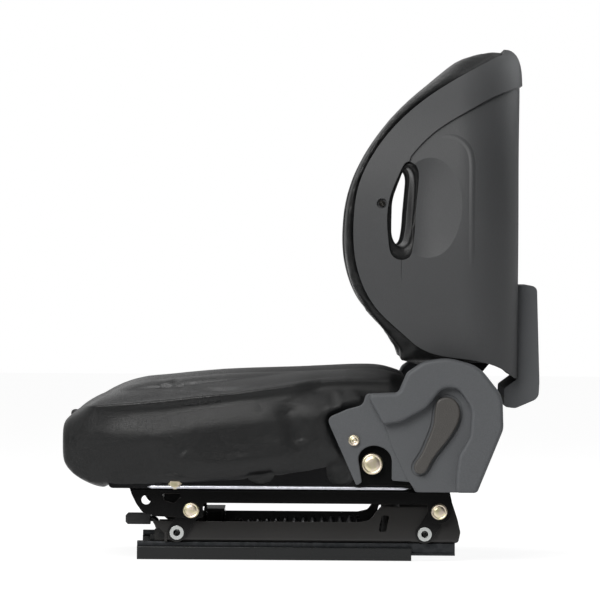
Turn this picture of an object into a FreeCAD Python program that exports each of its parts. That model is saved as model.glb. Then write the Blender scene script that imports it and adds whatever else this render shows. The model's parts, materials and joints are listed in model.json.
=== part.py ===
import FreeCAD, Part
import math
import os
import Sketcher

from FreeCAD import Placement, Rotation, Vector

# Forklift seat with rails, parallel rocker suspension, pan, cushion, side covers and winged back.
# Frame: +X to the rear, +Y to the sitter's right, +Z up, millimetres.
# The origin is the middle of the floor bolt pattern, on the underside of the fixed rails.

doc = FreeCAD.newDocument("ForkliftSeat")
sheet = doc.addObject("Spreadsheet::Sheet", "Sizes")

# Driving dimensions
SIZES = [
    # floor rails
    ("rail_gauge", 330),
    ("rail_length", 352),
    ("rail_width", 44),
    ("rail_height", 17),
    ("rail_wall", 2.5),
    ("rail_lip", 9),
    ("floor_bolt_pitch", 280),
    ("floor_bolt_radius", 4.5),
    ("slide_length", 408),
    ("slide_width", 23),
    ("slide_foot", 6.5),
    ("slide_top", 23),
    ("slide_foot_height", 7),
    ("roller_radius", 2.1),
    ("roller_pitch", 60),
    ("cage_thickness", 1.2),
    # lower frame
    ("lower_plate_inner", "=rail_gauge / 2 + 13"),
    ("plate_thickness", 3),
    ("lower_plate_height", 26),
    ("lower_front", 155),
    ("lower_rear", 239),
    ("cross_width", 42),
    ("cross_drop", 8),
    # slide latch
    ("axle_x", -146),
    ("axle_z", 30),
    ("axle_radius", 4),
    # rockers
    ("pivot_height", 34.5),
    ("front_pivot", 125),
    ("rear_pivot", 193),
    ("rocker_reach", 18.3),
    ("rocker_rise", 29.3),
    ("rocker_width", 24),
    ("rocker_thickness", 4),
    ("rocker_inner", "=lower_plate_inner + plate_thickness + 1.5"),
    ("pivot_tube_radius", 7),
    ("pivot_bore_radius", 4.5),
    ("pivot_ring_radius", 9),
    ("pivot_ring_thickness", 1.8),
    ("running_clearance", 0.06),
    # upper frame
    ("upper_plate_inner", "=rocker_inner + rocker_thickness + pivot_ring_thickness + 1.7"),
    ("upper_top", 92.5),
    ("upper_bar_height", 19.5),
    ("upper_flange", 7),
    ("upper_front", 186),
    ("upper_rear", 228),
    ("pivot_bolt_radius", 5),
    ("pivot_bolt_head", 10.5),
    ("pivot_bolt_hex", 8),
    ("pivot_bolt_head_height", 8),
    ("cross_tube_radius", 7),
    ("cross_tube_bore", 5),
    # springs
    ("spring_radius", 9),
    ("spring_wire_radius", 1.6),
    ("spring_pitch", 12),
    ("spring_offset", 50),
    # pan and cushion
    ("pan_half_width", 226),
    ("pan_wall", 2),
    ("pan_front", 212),
    ("pan_rear", 176),
    ("pan_side_front", 15),
    ("pan_side_rear", 40),
    ("dimple_radius", 19),
    ("pan_bolt_radius", 4),
    ("pan_bolt_head", 9),
    ("cushion_half_width", "=pan_half_width + 10"),
    ("soft_gap", 0.4),
    # recliner
    ("hinge_back", 221),
    ("hinge_height", 192),
    ("hinge_radius", 8),
    ("ear_thickness", 5),
    ("ear_bolt_back", 124.5),
    ("ear_bolt_height", 126),
    ("ear_bolt_radius", 6),
    ("ear_bolt_head", 14),
    ("arm_inner", "=pan_half_width - 30"),
    ("arm_thickness", 5),
    # side covers
    ("cover_inner", "=pan_half_width + ear_thickness + 0.3"),
    ("cover_flap_depth", 12.4),
    ("cover_depth", 15.7),
    ("hump_depth", 30.7),
    ("cover_wall", 2.5),
    ("cover_screw_radius", 3.6),
    ("lever_thickness", 9),
    ("spindle_radius", 6),
    # back
    ("back_rear", 311),
    ("back_half_width", "=pan_half_width + 17"),
    ("back_wall", 3.5),
    ("handle_screw_radius", 4),
    ("pad_rear", 271.7),
    ("frame_back", 280),
    ("frame_tube_radius", 8),
    ("frame_tube_bore", 6.2),
    ("frame_foot", 264),
    ("frame_top", 556),
    ("frame_bend", 66),
    ("rear_cover_half_width", 150),
    ("rear_cover_depth", 29),
    ("rear_cover_wall", 2.5),
]
for row, (alias, value) in enumerate(SIZES, start=1):
    sheet.set(f"A{row}", alias)
    sheet.set(f"B{row}", str(value))
    sheet.setAlias(f"B{row}", alias)
doc.recompute()


def size(alias):
    """The number in the sheet under this name."""
    return float(sheet.get(alias))


def bound(expression):
    """An expression on the sheet: each name in it is a cell's alias."""
    words = sorted((alias for alias, _ in SIZES), key=len, reverse=True)
    text = str(expression)
    parts = []
    word = ""
    for letter in text + " ":
        if letter.isalnum() or letter in "_.":
            word += letter
            continue
        parts.append("Sizes." + word if word in words else word)
        parts.append(letter)
        word = ""
    return "".join(parts).strip()


# Outlines

def outline(corners):
    """Edges of a closed outline through (a, b) or (a, b, radius) corners, in the sketch's plane."""
    count = len(corners)
    ends = []
    for i in range(count):
        point = Vector(corners[i][0], corners[i][1], 0)
        radius = corners[i][2] if len(corners[i]) > 2 else 0
        if not radius:
            ends.append((point, None, point))
            continue
        before = Vector(corners[i - 1][0], corners[i - 1][1], 0)
        after = Vector(corners[(i + 1) % count][0], corners[(i + 1) % count][1], 0)
        u = (before - point).normalize()
        v = (after - point).normalize()
        half = u.getAngle(v) / 2
        centre = point + (u + v).normalize() * (radius / math.sin(half))
        middle = centre + (point - centre).normalize() * radius
        reach = radius / math.tan(half)
        ends.append((point + u * reach, middle, point + v * reach))
    edges = []
    for i in range(count):
        start, middle, end = ends[i]
        if middle is not None:
            edges.append(Part.Arc(start, middle, end))
        following = ends[(i + 1) % count][0]
        if end.distanceToPoint(following) > 1e-6:
            edges.append(Part.LineSegment(end, following))
    return edges


def smooth(points):
    """One curve through the points, in the sketch's plane."""
    curve = Part.BSplineCurve()
    curve.interpolate([Vector(a, b, 0) for a, b in points])
    return curve


def closed_curve(points):
    """One closed curve through the points, in the sketch's plane."""
    curve = Part.BSplineCurve()
    curve.interpolate(Points=[Vector(a, b, 0) for a, b in points], PeriodicFlag=True)
    return [curve]


def grown(points, distance):
    """A closed ring of points, taken anticlockwise, each moved outwards by the distance."""
    ring = []
    for i in range(len(points)):
        before = Vector(*points[i - 1], 0)
        after = Vector(*points[(i + 1) % len(points)], 0)
        along = (after - before).normalize()
        ring.append((points[i][0] + along.y * distance, points[i][1] - along.x * distance))
    return ring


def chain(*pieces):
    """Closed outline of curves and single points: straight lines join what is left open."""
    edges = []
    first = None
    last = None
    for piece in pieces:
        if isinstance(piece, tuple):
            start = end = Vector(piece[0], piece[1], 0)
        else:
            start = piece.StartPoint
            end = piece.EndPoint
        if last is not None and last.distanceToPoint(start) > 1e-6:
            edges.append(Part.LineSegment(last, start))
        if not isinstance(piece, tuple):
            edges.append(piece)
        first = first or start
        last = end
    edges.append(Part.LineSegment(last, first))
    return edges


# Building blocks

SIDE_VIEW = Rotation(Vector(1, 0, 0), 90)
FRONT_VIEW = Rotation(Vector(1, 1, 1), 120)
ALONG_Y = Rotation(Vector(1, 0, 0), -90)
ALONG_X = Rotation(Vector(0, 1, 0), 90)


def sketch_at(name, edges, rotation=SIDE_VIEW, place=(0, 0, 0)):
    """A sketch of its own in the side view (X, Z), the front view (Y, Z) or from above (X, Y)."""
    sketch = doc.addObject("Sketcher::SketchObject", name)
    sketch.Placement = Placement(Vector(*place), rotation)
    for edge in edges:
        sketch.addGeometry(edge)
    return sketch


def origin_plane(body, role):
    return next(plane for plane in body.Origin.OriginFeatures if plane.Role == role)


def padded_body(label, role, edges, offset, length, holes=()):
    """A body made by padding an outline with round holes (a, b, radius name) in it."""
    body = doc.addObject("PartDesign::Body", label)
    sketch = body.newObject("Sketcher::SketchObject", label + "_outline")
    sketch.AttachmentSupport = [(origin_plane(body, role), "")]
    sketch.MapMode = "FlatFace"
    sketch.setExpression("AttachmentOffset.Base.z", bound(offset))
    for edge in edges:
        sketch.addGeometry(edge)
    for a, b, radius in holes:
        circle = Part.Circle(Vector(a, b, 0), Vector(0, 0, 1), 1)
        index = sketch.addGeometry(circle)
        rule = sketch.addConstraint(Sketcher.Constraint("Radius", index, 1))
        sketch.setExpression(f"Constraints[{rule}]", bound(radius))
    pad = body.newObject("PartDesign::Pad", label + "_pad")
    pad.Profile = sketch
    pad.setExpression("Length", bound(length))
    return body


def block(name, low, high):
    """A box between two corners, each corner three expressions on the sheet."""
    box = doc.addObject("Part::Box", name)
    for axis, side, a, b in zip("xyz", ("Length", "Width", "Height"), low, high):
        box.setExpression(side, bound(f"({b}) - ({a})"))
        box.setExpression(f"Placement.Base.{axis}", bound(a))
    return box


def rod(name, radius, start, length, rotation=ALONG_Y):
    """A cylinder from a start point along Y, X or Z."""
    cylinder = doc.addObject("Part::Cylinder", name)
    cylinder.Placement = Placement(Vector(0, 0, 0), rotation)
    cylinder.setExpression("Radius", bound(radius))
    cylinder.setExpression("Height", bound(length))
    for axis, value in zip("xyz", start):
        cylinder.setExpression(f"Placement.Base.{axis}", bound(value))
    return cylinder


def cone(name, radius_low, radius_high, start, length, rotation=ALONG_Y):
    frustum = doc.addObject("Part::Cone", name)
    frustum.Placement = Placement(Vector(0, 0, 0), rotation)
    frustum.setExpression("Radius1", bound(radius_low))
    frustum.setExpression("Radius2", bound(radius_high))
    frustum.setExpression("Height", bound(length))
    for axis, value in zip("xyz", start):
        frustum.setExpression(f"Placement.Base.{axis}", bound(value))
    return frustum


def hexagon(name, corner_radius, start, length, rotation=ALONG_Y):
    prism = doc.addObject("Part::Prism", name)
    prism.Polygon = 6
    prism.Placement = Placement(Vector(0, 0, 0), rotation)
    prism.setExpression("Circumradius", bound(corner_radius))
    prism.setExpression("Height", bound(length))
    for axis, value in zip("xyz", start):
        prism.setExpression(f"Placement.Base.{axis}", bound(value))
    return prism


def extruded(name, sketch, length, symmetric=False, way=(0, -1, 0)):
    """A sketch pushed outwards on the left side, or another way."""
    solid = doc.addObject("Part::Extrusion", name)
    solid.Base = sketch
    solid.DirMode = "Custom"
    solid.Dir = way
    solid.setExpression("LengthFwd", bound(length))
    solid.Solid = True
    solid.Symmetric = symmetric
    return solid


def inset(name, sketch, distance):
    """The sketch's outline moved inwards."""
    smaller = doc.addObject("Part::Offset2D", name)
    smaller.Source = sketch
    smaller.setExpression("Value", bound(f"-({distance})"))
    smaller.Join = 2
    return smaller


def lofted(name, sections):
    solid = doc.addObject("Part::Loft", name)
    solid.Sections = sections
    solid.Solid = True
    return solid


def fused(name, shapes):
    union = doc.addObject("Part::MultiFuse", name)
    union.Shapes = shapes
    union.Refine = True
    return union


def group(name, shapes):
    """Separate solids of one kind in one node."""
    compound = doc.addObject("Part::Compound", name)
    compound.Links = shapes
    return compound


def bent_bar(name, radius, corners, bend, place=SIDE_VIEW):
    """A round bar through corner points in one plane, its bends turned about their own centres."""
    points = [Vector(a, b, 0) for a, b in corners]
    parts = []
    start = points[0]
    for i in range(1, len(points)):
        end = points[i]
        along = (points[i] - points[i - 1]).normalize()
        if i < len(points) - 1:
            onward = (points[i + 1] - points[i]).normalize()
            turn = along.getAngle(onward)
            end = points[i] - along * (bend * math.tan(turn / 2))
        straight = doc.addObject("Part::Cylinder", f"{name}_run_{i}")
        straight.Radius = radius
        straight.Height = start.distanceToPoint(end)
        straight.Placement = place.multiply(Placement(start, Rotation(Vector(0, 0, 1), along)))
        parts.append(straight)
        if i < len(points) - 1:
            inward = (onward - along).normalize()
            centre = points[i] + inward * (bend / math.cos(turn / 2))
            ring = doc.addObject("Part::Torus", f"{name}_bend_{i}")
            ring.Radius1 = bend
            ring.Radius2 = radius
            ring.Angle3 = math.degrees(turn)
            normal = along.cross(onward).normalize()
            outward = (end - centre).normalize()
            ring.Placement = place.multiply(Placement(centre, Rotation(outward, normal.cross(outward), normal, "XYZ")))
            parts.append(ring)
            start = points[i] + onward * (bend * math.tan(turn / 2))
    return fused(name, parts)


def less(name, base, tools):
    difference = doc.addObject("Part::Cut", name)
    difference.Base = base
    difference.Tool = tools[0] if len(tools) == 1 else fused(name + "_tools", tools)
    return difference


def rounded(name, base, radius, level):
    """Fillets round the face of a solid that lies at this distance on the left side."""
    doc.recompute()
    soft_edges = doc.addObject("Part::Fillet", name)
    soft_edges.Base = base
    soft_edges.Edges = [
        (number, radius, radius) for number, edge in enumerate(base.Shape.Edges, start=1)
        if all(abs(vertex.Y + level) < 0.001 for vertex in edge.Vertexes)
    ]
    return soft_edges


def shared(name, one, other):
    common = doc.addObject("Part::MultiCommon", name)
    common.Shapes = [one, other]
    return common


def folded(name, inner, level, rise, reach):
    """Sheet bent along X on the left side: a wall from the level upwards or downwards by the rise,
    and a flange inwards by the reach, with a rounded fold."""
    thick = size("plate_thickness")
    outer = -size(inner) - thick
    base = size(level)
    turn = math.copysign(1, rise)
    profile = outline([
        (outer, base, 1.5 * thick), (outer + thick + abs(reach), base),
        (outer + thick + abs(reach), base + turn * thick),
        (outer + thick, base + turn * thick, 0.5 * thick), (outer + thick, base + rise), (outer, base + rise),
    ])
    sheet_sketch = sketch_at(name + "_profile", profile, FRONT_VIEW, (-320, 0, 0))
    return extruded(name, sheet_sketch, 640, way=(1, 0, 0))


def mirrored(name, source):
    """The same piece on the sitter's right."""
    twin = doc.addObject("Part::Mirroring", name)
    twin.Source = source
    twin.Normal = (0, 1, 0)
    return twin


def flange_bolt(name, shank, hexagon_radius, flange, x, head, z, shank_length, head_height):
    """A hexagon flange bolt from outside the left wall, its shank pointing inwards."""
    parts = [
        rod(name + "_shank", shank, (x, f"-({head})", z), shank_length),
        cone(name + "_flange", f"({flange}) - 2.5", flange, (x, f"-({head}) - 2.6", z), 2.6),
        hexagon(name + "_hex", hexagon_radius, (x, f"-({head}) - ({head_height})", z), head_height),
    ]
    return fused(name, parts)


nodes = []


def piece(shape):
    """Marks a finished sub-part for export."""
    nodes.append(shape)
    return shape


# Floor rails: folded channels with lips, bolted to the floor of the truck

gauge = size("rail_gauge") / 2
half = size("rail_width") / 2
wall = size("rail_wall")
top = size("rail_height")
lip = half - size("rail_lip")
fold = 1.5
channel = outline([
    (-half, 0, fold), (half, 0, fold), (half, top, fold), (lip, top), (lip, top - wall),
    (half - wall, top - wall), (half - wall, wall), (wall - half, wall),
    (wall - half, top - wall), (-lip, top - wall), (-lip, top), (-half, top, fold),
])
rail = padded_body("fixed_rail_blank", "YZ_Plane", channel, "-rail_length / 2", "rail_length")
rail.setExpression("Placement.Base.y", bound("-rail_gauge / 2"))
floor_holes = [
    rod(f"floor_hole_{i}", "floor_bolt_radius", (f"{side} * floor_bolt_pitch / 2", "-rail_gauge / 2", -1),
        "rail_wall + 2", Rotation())
    for i, side in enumerate((-1, 1))
]
fixed_left = piece(less("fixed_rail_left", rail, floor_holes))
piece(mirrored("fixed_rail_right", fixed_left))

# Moving rails: hat sections that run inside the lips on rollers

web = size("slide_width") / 2
foot = web + size("slide_foot")
low = size("slide_foot_height")
high = size("slide_top")
hat = outline([
    (-web, high, fold), (-web, low + wall), (-foot, low + wall), (-foot, low), (wall - web, low),
    (wall - web, high - wall), (web - wall, high - wall), (web - wall, low), (foot, low),
    (foot, low + wall), (web, low + wall), (web, high, fold),
])
slide = piece(padded_body("moving_rail_left", "YZ_Plane", hat, "-rail_length / 2", "slide_length"))
slide.setExpression("Placement.Base.y", bound("-rail_gauge / 2"))
piece(mirrored("moving_rail_right", slide))

# Roller cages: a thin strip with cross rollers under each moving rail

strip_low = "rail_wall + 0.15 + roller_radius - cage_thickness / 2"
strip = block("roller_strip", ("-2.2 * roller_pitch", "-rail_gauge / 2 - 16", strip_low),
              ("2.2 * roller_pitch", "-rail_gauge / 2 + 16", f"{strip_low} + cage_thickness"))
rollers = [
    rod(f"roller_{i}", "roller_radius",
        (f"({i} - 1.5) * roller_pitch", "-rail_gauge / 2 - 15", "rail_wall + 0.15 + roller_radius"), 30)
    for i in range(4)
]
cage = piece(fused("roller_cage_left", [strip] + rollers))
piece(mirrored("roller_cage_right", cage))

# Lower frame: pressed side plates with a foot on the moving rail and two channel cross members

slide_z = size("slide_top")
bar_top = slide_z + size("lower_plate_height")
front = -size("lower_front")
rear = size("lower_rear")
lower_holes = [
    (-size("front_pivot"), size("pivot_height"), "pivot_tube_radius + running_clearance"),
    (size("rear_pivot"), size("pivot_height"), "pivot_tube_radius + running_clearance"),
]
lower_edges = outline([
    (front + 16, slide_z), (front + 14.5, slide_z + 11, 4), (front - 1, bar_top - 2, 2),
    (front, bar_top), (110, bar_top, 14), (123, bar_top + 3, 8), (131, bar_top + 14, 10),
    (136, bar_top + 20.5, 5), (206, bar_top + 20, 8),
    (220, bar_top + 29, 4), (rear - 12, bar_top + 29, 4), (rear - 4, bar_top + 5, 8),
    (rear, slide_z + 14, 8), (rear - 3, slide_z, 5),
])
lower_blank = padded_body("lower_plate_blank", "XZ_Plane", lower_edges, "lower_plate_inner - 30",
                          "plate_thickness + 30", lower_holes)
slot_lean = 4.5
slot = extruded("lower_slot", sketch_at("lower_slot_outline", outline([
    (133.5, slide_z + 14, 3), (143.5, slide_z + 14, 3), (143.5 + slot_lean, slide_z + 35, 3),
    (133.5 + slot_lean, slide_z + 35, 3),
]), place=(0, -size("lower_plate_inner") + 1, 0)), "plate_thickness + 2")
lower_fold = folded("lower_fold", "lower_plate_inner", "slide_top", 60, -30)
lower_lip = block("lower_front_lip", ("-lower_front + 14.4", "-lower_plate_inner - 7", "slide_top"),
                  ("-lower_front + 17.4", "-lower_plate_inner", "slide_top + 11"))
lower_lug = block("lower_lug", ("axle_x - 8", "-lower_plate_inner + 27", "slide_top"),
                  ("axle_x + 12", "-lower_plate_inner + 30", "axle_z + 8"))
lug_hole = rod("lug_hole", "axle_radius + running_clearance",
               ("axle_x", "-lower_plate_inner + 20", "axle_z"), 20)
lower_solid = fused("lower_solid", [shared("lower_plate", lower_blank, lower_fold), lower_lip, lower_lug])
lower_left = piece(less("lower_side_left", lower_solid, [slot, lug_hole]))
piece(mirrored("lower_side_right", lower_left))


def cross_member(name, x):
    """A channel across the frame, its web level with the side plates' feet."""
    outer = block(name + "_outer", (x, "-lower_plate_inner + 30", "slide_top + plate_thickness - cross_drop"),
                  (f"{x} + cross_width", "lower_plate_inner - 30", "slide_top + plate_thickness"))
    inner = block(name + "_inner",
                  (f"{x} + plate_thickness", "-lower_plate_inner", "slide_top - cross_drop"),
                  (f"{x} + cross_width - plate_thickness", "lower_plate_inner", "slide_top"))
    return less(name, outer, [inner])


piece(cross_member("lower_cross_front", "-front_pivot + 24"))
piece(cross_member("lower_cross_rear", "rear_pivot - 63"))

# Rockers: two arms on each pivot tube, the tube's ends swaged to rings outside the arms


def rocker(end, x, sign):
    """Arms and pivot tube of one end. The arm leans back from the lower to the upper pivot."""
    low_x = sign * size(x)
    low_z = size("pivot_height")
    reach = size("rocker_reach")
    rise = size("rocker_rise")
    radius = size("rocker_width") / 2
    length = math.hypot(reach, rise)
    along = Vector(reach / length, rise / length, 0)
    across = Vector(-along.y, along.x, 0) * radius
    start = Vector(low_x, low_z, 0)
    finish = Vector(low_x + reach, low_z + rise, 0)
    arm_edges = [
        Part.LineSegment(start + across, finish + across),
        Part.Arc(finish + across, finish + along * radius, finish - across),
        Part.LineSegment(finish - across, start - across),
        Part.Arc(start - across, start - along * radius, start + across),
    ]
    holes = [
        (low_x, low_z, "pivot_tube_radius"),
        (low_x + reach, low_z + rise, "pivot_bolt_radius + running_clearance"),
    ]
    arm = piece(padded_body(f"{end}_rocker_left", "XZ_Plane", arm_edges, "rocker_inner",
                            "rocker_thickness", holes))
    piece(mirrored(f"{end}_rocker_right", arm))
    place_x = f"{sign} * {x}"
    ring_face = "rocker_inner + rocker_thickness"
    tube = rod(f"{end}_tube_outer", "pivot_tube_radius",
               (place_x, f"-({ring_face}) - pivot_ring_thickness", "pivot_height"),
               f"2 * ({ring_face} + pivot_ring_thickness)")
    rings = [
        rod(f"{end}_ring_{i}", "pivot_ring_radius", (place_x, y, "pivot_height"), "pivot_ring_thickness")
        for i, y in enumerate((f"-({ring_face}) - pivot_ring_thickness", ring_face))
    ]
    bore = rod(f"{end}_tube_bore", "pivot_bore_radius", (place_x, "-rail_gauge", "pivot_height"),
               "2 * rail_gauge")
    solids = [tube] + rings
    if end == "rear":
        for i, y in enumerate((-1, 1)):
            solids.append(spring_arm(f"spring_arm_{i}", y))
    return piece(less(f"{end}_pivot_tube", fused(f"{end}_tube_solid", solids), [bore]))


def spring_arm(name, side):
    """A short plate on the rear pivot tube that the suspension spring hooks into."""
    arm = block(name, ("rear_pivot - 8", f"{side} * spring_offset - 2.5", "pivot_height"),
                ("rear_pivot + 6", f"{side} * spring_offset + 2.5", "pivot_height + 15"))
    eye = rod(name + "_eye", "spring_wire_radius + 1",
              ("rear_pivot - 3", f"{side} * spring_offset - 6", "pivot_height + 11"), 12)
    return less(name + "_plate", arm, [eye])


rocker("front", "front_pivot", -1)
rocker("rear", "rear_pivot", 1)

# Spring anchor on the front cross member, with an adjusting screw through its face

anchor_x = "-front_pivot + 33"
anchor_face = -size("front_pivot") + 60
anchor_outer = block("anchor_outer", (anchor_x, -62, "slide_top + plate_thickness"),
                     (f"{anchor_x} + 27", 62, "slide_top + 38"))
anchor_hollow = block("anchor_hollow", (f"{anchor_x} + 3", -70, "slide_top + plate_thickness + 3"),
                      (f"{anchor_x} + 24", 70, "slide_top + 35"))
piece(less("spring_anchor", anchor_outer, [anchor_hollow]))

# Suspension springs: wire coils with a hook at each end


def spring(name, side):
    """A coil of straight facets from the anchor's face to the eye of the spring arm."""
    start = Vector(anchor_face + 0.5, side * size("spring_offset"), slide_z + 11)
    end = Vector(size("rear_pivot") - 8.4, side * size("spring_offset"), size("pivot_height") + 8)
    axis = end - start
    hook = 14
    coil_length = 0.64 * axis.Length
    wire = size("spring_wire_radius")
    radius = size("spring_radius") - wire
    facets = 10
    count = round(coil_length / size("spring_pitch") * facets)
    points = [Vector(radius * math.cos(math.tau * i / facets), radius * math.sin(math.tau * i / facets),
                     coil_length * i / count) for i in range(count + 1)]
    across = Vector(0, 0, 1).cross(points[1] - points[0]).normalize()
    square = [points[0] + across * a + Vector(0, 0, b) for a, b in
              ((-wire, -wire), (wire, -wire), (wire, wire), (-wire, wire), (-wire, -wire))]
    coil = Part.makePolygon(points).makePipeShell([Part.makePolygon(square)], True, False, 1)
    rods = [Part.makeCylinder(wire, hook, Vector(0, 0, -hook)),
            Part.makeCylinder(wire, axis.Length - hook - coil_length, Vector(0, 0, coil_length))]
    discs = [Part.makeCylinder(radius + wire, 2 * wire, Vector(0, 0, base))
             for base in (-wire, coil_length - wire)]
    holder = doc.addObject("Part::Feature", name)
    holder.Shape = coil.fuse(rods + discs)
    holder.Placement = Placement(start + axis.normalize() * hook, Rotation(Vector(0, 0, 1), axis))
    return holder


piece(spring("suspension_spring_left", -1))
piece(spring("suspension_spring_right", 1))

# Bump stops: rubber buffers on the rear cross member

stops = [
    cone(f"bump_stop_{i}", 14, 10, ("rear_pivot - 42", y, "slide_top + plate_thickness"), 44.6, Rotation())
    for i, y in enumerate((-115, 115))
]
piece(group("bump_stops", stops))

# Slide bar: a bent bar that lifts the latch of the moving rails, with a moulded grip in front

bar_y = "-rail_gauge / 2 + 42"
bar_side = -size("rail_gauge") / 2 + 42
bar_radius = size("axle_radius")
axle_x = size("axle_x")
axle_z = size("axle_z")
grip_level = size("slide_top") + 27
bar_corners = [(axle_x, axle_z), (axle_x - 8, grip_level), (-size("upper_front") + 4, grip_level)]
piece(fused("slide_bar", [
    rod("slide_bar_axle", "axle_radius", ("axle_x", "-rail_gauge / 2 + 13", "axle_z"), 31),
    bent_bar("slide_bar_reach", bar_radius, bar_corners, 6,
             Placement(Vector(0, bar_side, 0), SIDE_VIEW)),
    block("latch_plate", ("axle_x - 14", "-rail_gauge / 2 + 22.4", "rail_height + 0.5"),
          ("axle_x + 10", "-rail_gauge / 2 + 25.4", "axle_z")),
]))
grip = doc.addObject("Part::Chamfer", "slide_grip")
grip.Base = less("slide_grip_bored", block(
    "slide_grip_blank", ("-upper_front - 6", f"{bar_y} - 16", "slide_top + 20"),
    ("-upper_front + 26", f"{bar_y} + 16", "slide_top + 34")), [
        rod("slide_grip_bore", 4, ("-upper_front + 4", bar_y, "slide_top + 27"), 30, ALONG_X)])

# Upper frame: side plates hung on the rockers by flange bolts, a rounded flange along the top

upper_y = size("upper_plate_inner")
flange_top = size("upper_top")
bar_low = flange_top - size("upper_bar_height")
upper_front = -size("upper_front")
up_x = size("rocker_reach")
up_z = size("pivot_height") + size("rocker_rise")
front_bolt = (-size("front_pivot") + up_x, up_z)
rear_bolt = (size("rear_pivot") + up_x, up_z)
upper_edges = outline([
    (upper_front, flange_top), (upper_front + 3, flange_top - 9, 6), (upper_front + 9, flange_top - 21, 8),
    (upper_front + 17, flange_top - 32, 8), (upper_front + 34, flange_top - 37, 10),
    (-96, flange_top - 39, 5), (-91.5, flange_top - 38, 3), (-91.5, bar_low, 4),
    (196, bar_low, 4), (198.5, flange_top - 44, 6), (rear_bolt[0] + 14, flange_top - 44, 14),
    (size("upper_rear"), flange_top - 18, 10), (size("upper_rear") - 4, flange_top),
])
window = outline([
    (-147, flange_top - 8, 3), (-112, flange_top - 7.5, 3), (-121, flange_top - 13, 8),
    (-129, flange_top - 20.5, 5), (-140, flange_top - 17, 6),
])
upper_blank = padded_body("upper_plate_blank", "XZ_Plane", upper_edges, "upper_plate_inner - upper_flange",
                          "plate_thickness + upper_flange", [
    (upper_front + 21.5, flange_top - 16, "pivot_bolt_radius + 1"),
    (front_bolt[0], front_bolt[1], "pivot_bolt_radius + 0.02"),
    (rear_bolt[0], rear_bolt[1], "pivot_bolt_radius + 0.02"),
])
window_cut = extruded("upper_window", sketch_at("upper_window_outline", window, place=(0, 1 - upper_y, 0)),
                      "plate_thickness + 2")
upper_fold = folded("upper_fold", "upper_plate_inner", "upper_top", -60, size("upper_flange"))
upper_left = piece(less("upper_side_left", shared("upper_plate", upper_blank, upper_fold), [window_cut]))
piece(mirrored("upper_side_right", upper_left))


def cross_tube(name, x, z):
    """A round tube between the upper side plates."""
    outer = rod(name + "_outer", "cross_tube_radius", (x, "-upper_plate_inner", z), "2 * upper_plate_inner")
    bore = rod(name + "_bore", "cross_tube_bore", (x, "-upper_plate_inner - 1", z), "2 * upper_plate_inner + 2")
    return less(name, outer, [bore])


piece(cross_tube("upper_cross_front", "-upper_front + 36", "upper_top - 11.5"))
piece(cross_tube("upper_cross_rear", "40", "upper_top - 11.5"))

# Weight lever: a shaft through the round hole of the right side plate, its arm up past the cushion

lever_x = upper_front + 21.5
lever_z = flange_top - 16
grip_x = -262
grip_z = 168
lever_plane = "cushion_half_width + 12"
arm_reach = math.hypot(grip_x - lever_x, grip_z - lever_z)
arm_along = Vector((grip_x - lever_x) / arm_reach, (grip_z - lever_z) / arm_reach, 0)
arm_across = Vector(-arm_along.y, arm_along.x, 0)
foot_point = Vector(lever_x, lever_z, 0)
tip_point = Vector(grip_x, grip_z, 0)
weight_edges = [
    Part.LineSegment(foot_point + arm_across * 10, tip_point + arm_across * 5),
    Part.LineSegment(tip_point + arm_across * 5, tip_point - arm_across * 5),
    Part.LineSegment(tip_point - arm_across * 5, foot_point - arm_across * 10),
    Part.Arc(foot_point - arm_across * 10, foot_point - arm_along * 10, foot_point + arm_across * 10),
]
weight_sketch = sketch_at("weight_arm_outline", weight_edges, place=(0, size("cushion_half_width") + 15, 0))
piece(fused("weight_lever", [
    extruded("weight_arm", weight_sketch, 3),
    rod("weight_shaft", "pivot_bolt_radius + 0.94", (lever_x, "upper_plate_inner - 6", lever_z),
        f"{lever_plane} - upper_plate_inner + 6"),
]))
weight_grip = doc.addObject("Part::Ellipsoid", "weight_grip_body")
weight_grip.Radius1 = 13
weight_grip.Radius2 = 8
weight_grip.Radius3 = 7
weight_grip.Placement = Placement(
    Vector(grip_x, size("cushion_half_width") + 13.5, grip_z) + Vector(arm_along.x, 0, arm_along.y) * 4,
    Rotation(Vector(0, 0, 1), Vector(arm_along.x, 0, arm_along.y)))
weight_arm_again = extruded("weight_arm_space", weight_sketch, 3)
piece(less("weight_grip", weight_grip, [weight_arm_again]))

# Pivot bolts of the rockers

bolts = []
for side in (-1, 1):
    for number, x in enumerate((front_bolt[0], rear_bolt[0])):
        bolt = flange_bolt(f"pivot_bolt_{'left' if side < 0 else 'right'}_{number}", "pivot_bolt_radius",
                           "pivot_bolt_hex", "pivot_bolt_head", x, "upper_plate_inner + plate_thickness",
                           up_z, "upper_plate_inner + plate_thickness - rocker_inner", "pivot_bolt_head_height")
        bolts.append(bolt if side < 0 else mirrored(bolt.Name + "_turned", bolt))
piece(group("pivot_bolts", bolts))

# Seat pan: a pressed tray whose sides rise to the rear, with two round dimples a side

pan_y = size("pan_half_width")
pan_floor = size("upper_top")
pan_sheet = size("pan_wall")
pan_front = -size("pan_front")
pan_rear = size("pan_rear")
front_rise = pan_floor + size("pan_side_front")
rear_rise = pan_floor + size("pan_side_rear")
pan_outline = outline([
    (pan_front, pan_floor, 6), (pan_rear, pan_floor, 6), (pan_rear, rear_rise), (60, rear_rise - 2, 40),
    (-20, rear_rise - 5, 60), (pan_front, front_rise),
])
pan_outer = extruded("pan_outer", sketch_at("pan_side", pan_outline), "2 * pan_half_width", True)
pan_cavity_outline = outline([
    (pan_front + pan_sheet, pan_floor + pan_sheet, 5), (pan_rear - pan_sheet, pan_floor + pan_sheet, 5),
    (pan_rear - pan_sheet, rear_rise + 40), (pan_front + pan_sheet, rear_rise + 40),
])
pan_cavity = extruded("pan_cavity", sketch_at("pan_cavity_side", pan_cavity_outline),
                      "2 * pan_half_width - 2 * pan_wall", True)
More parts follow.
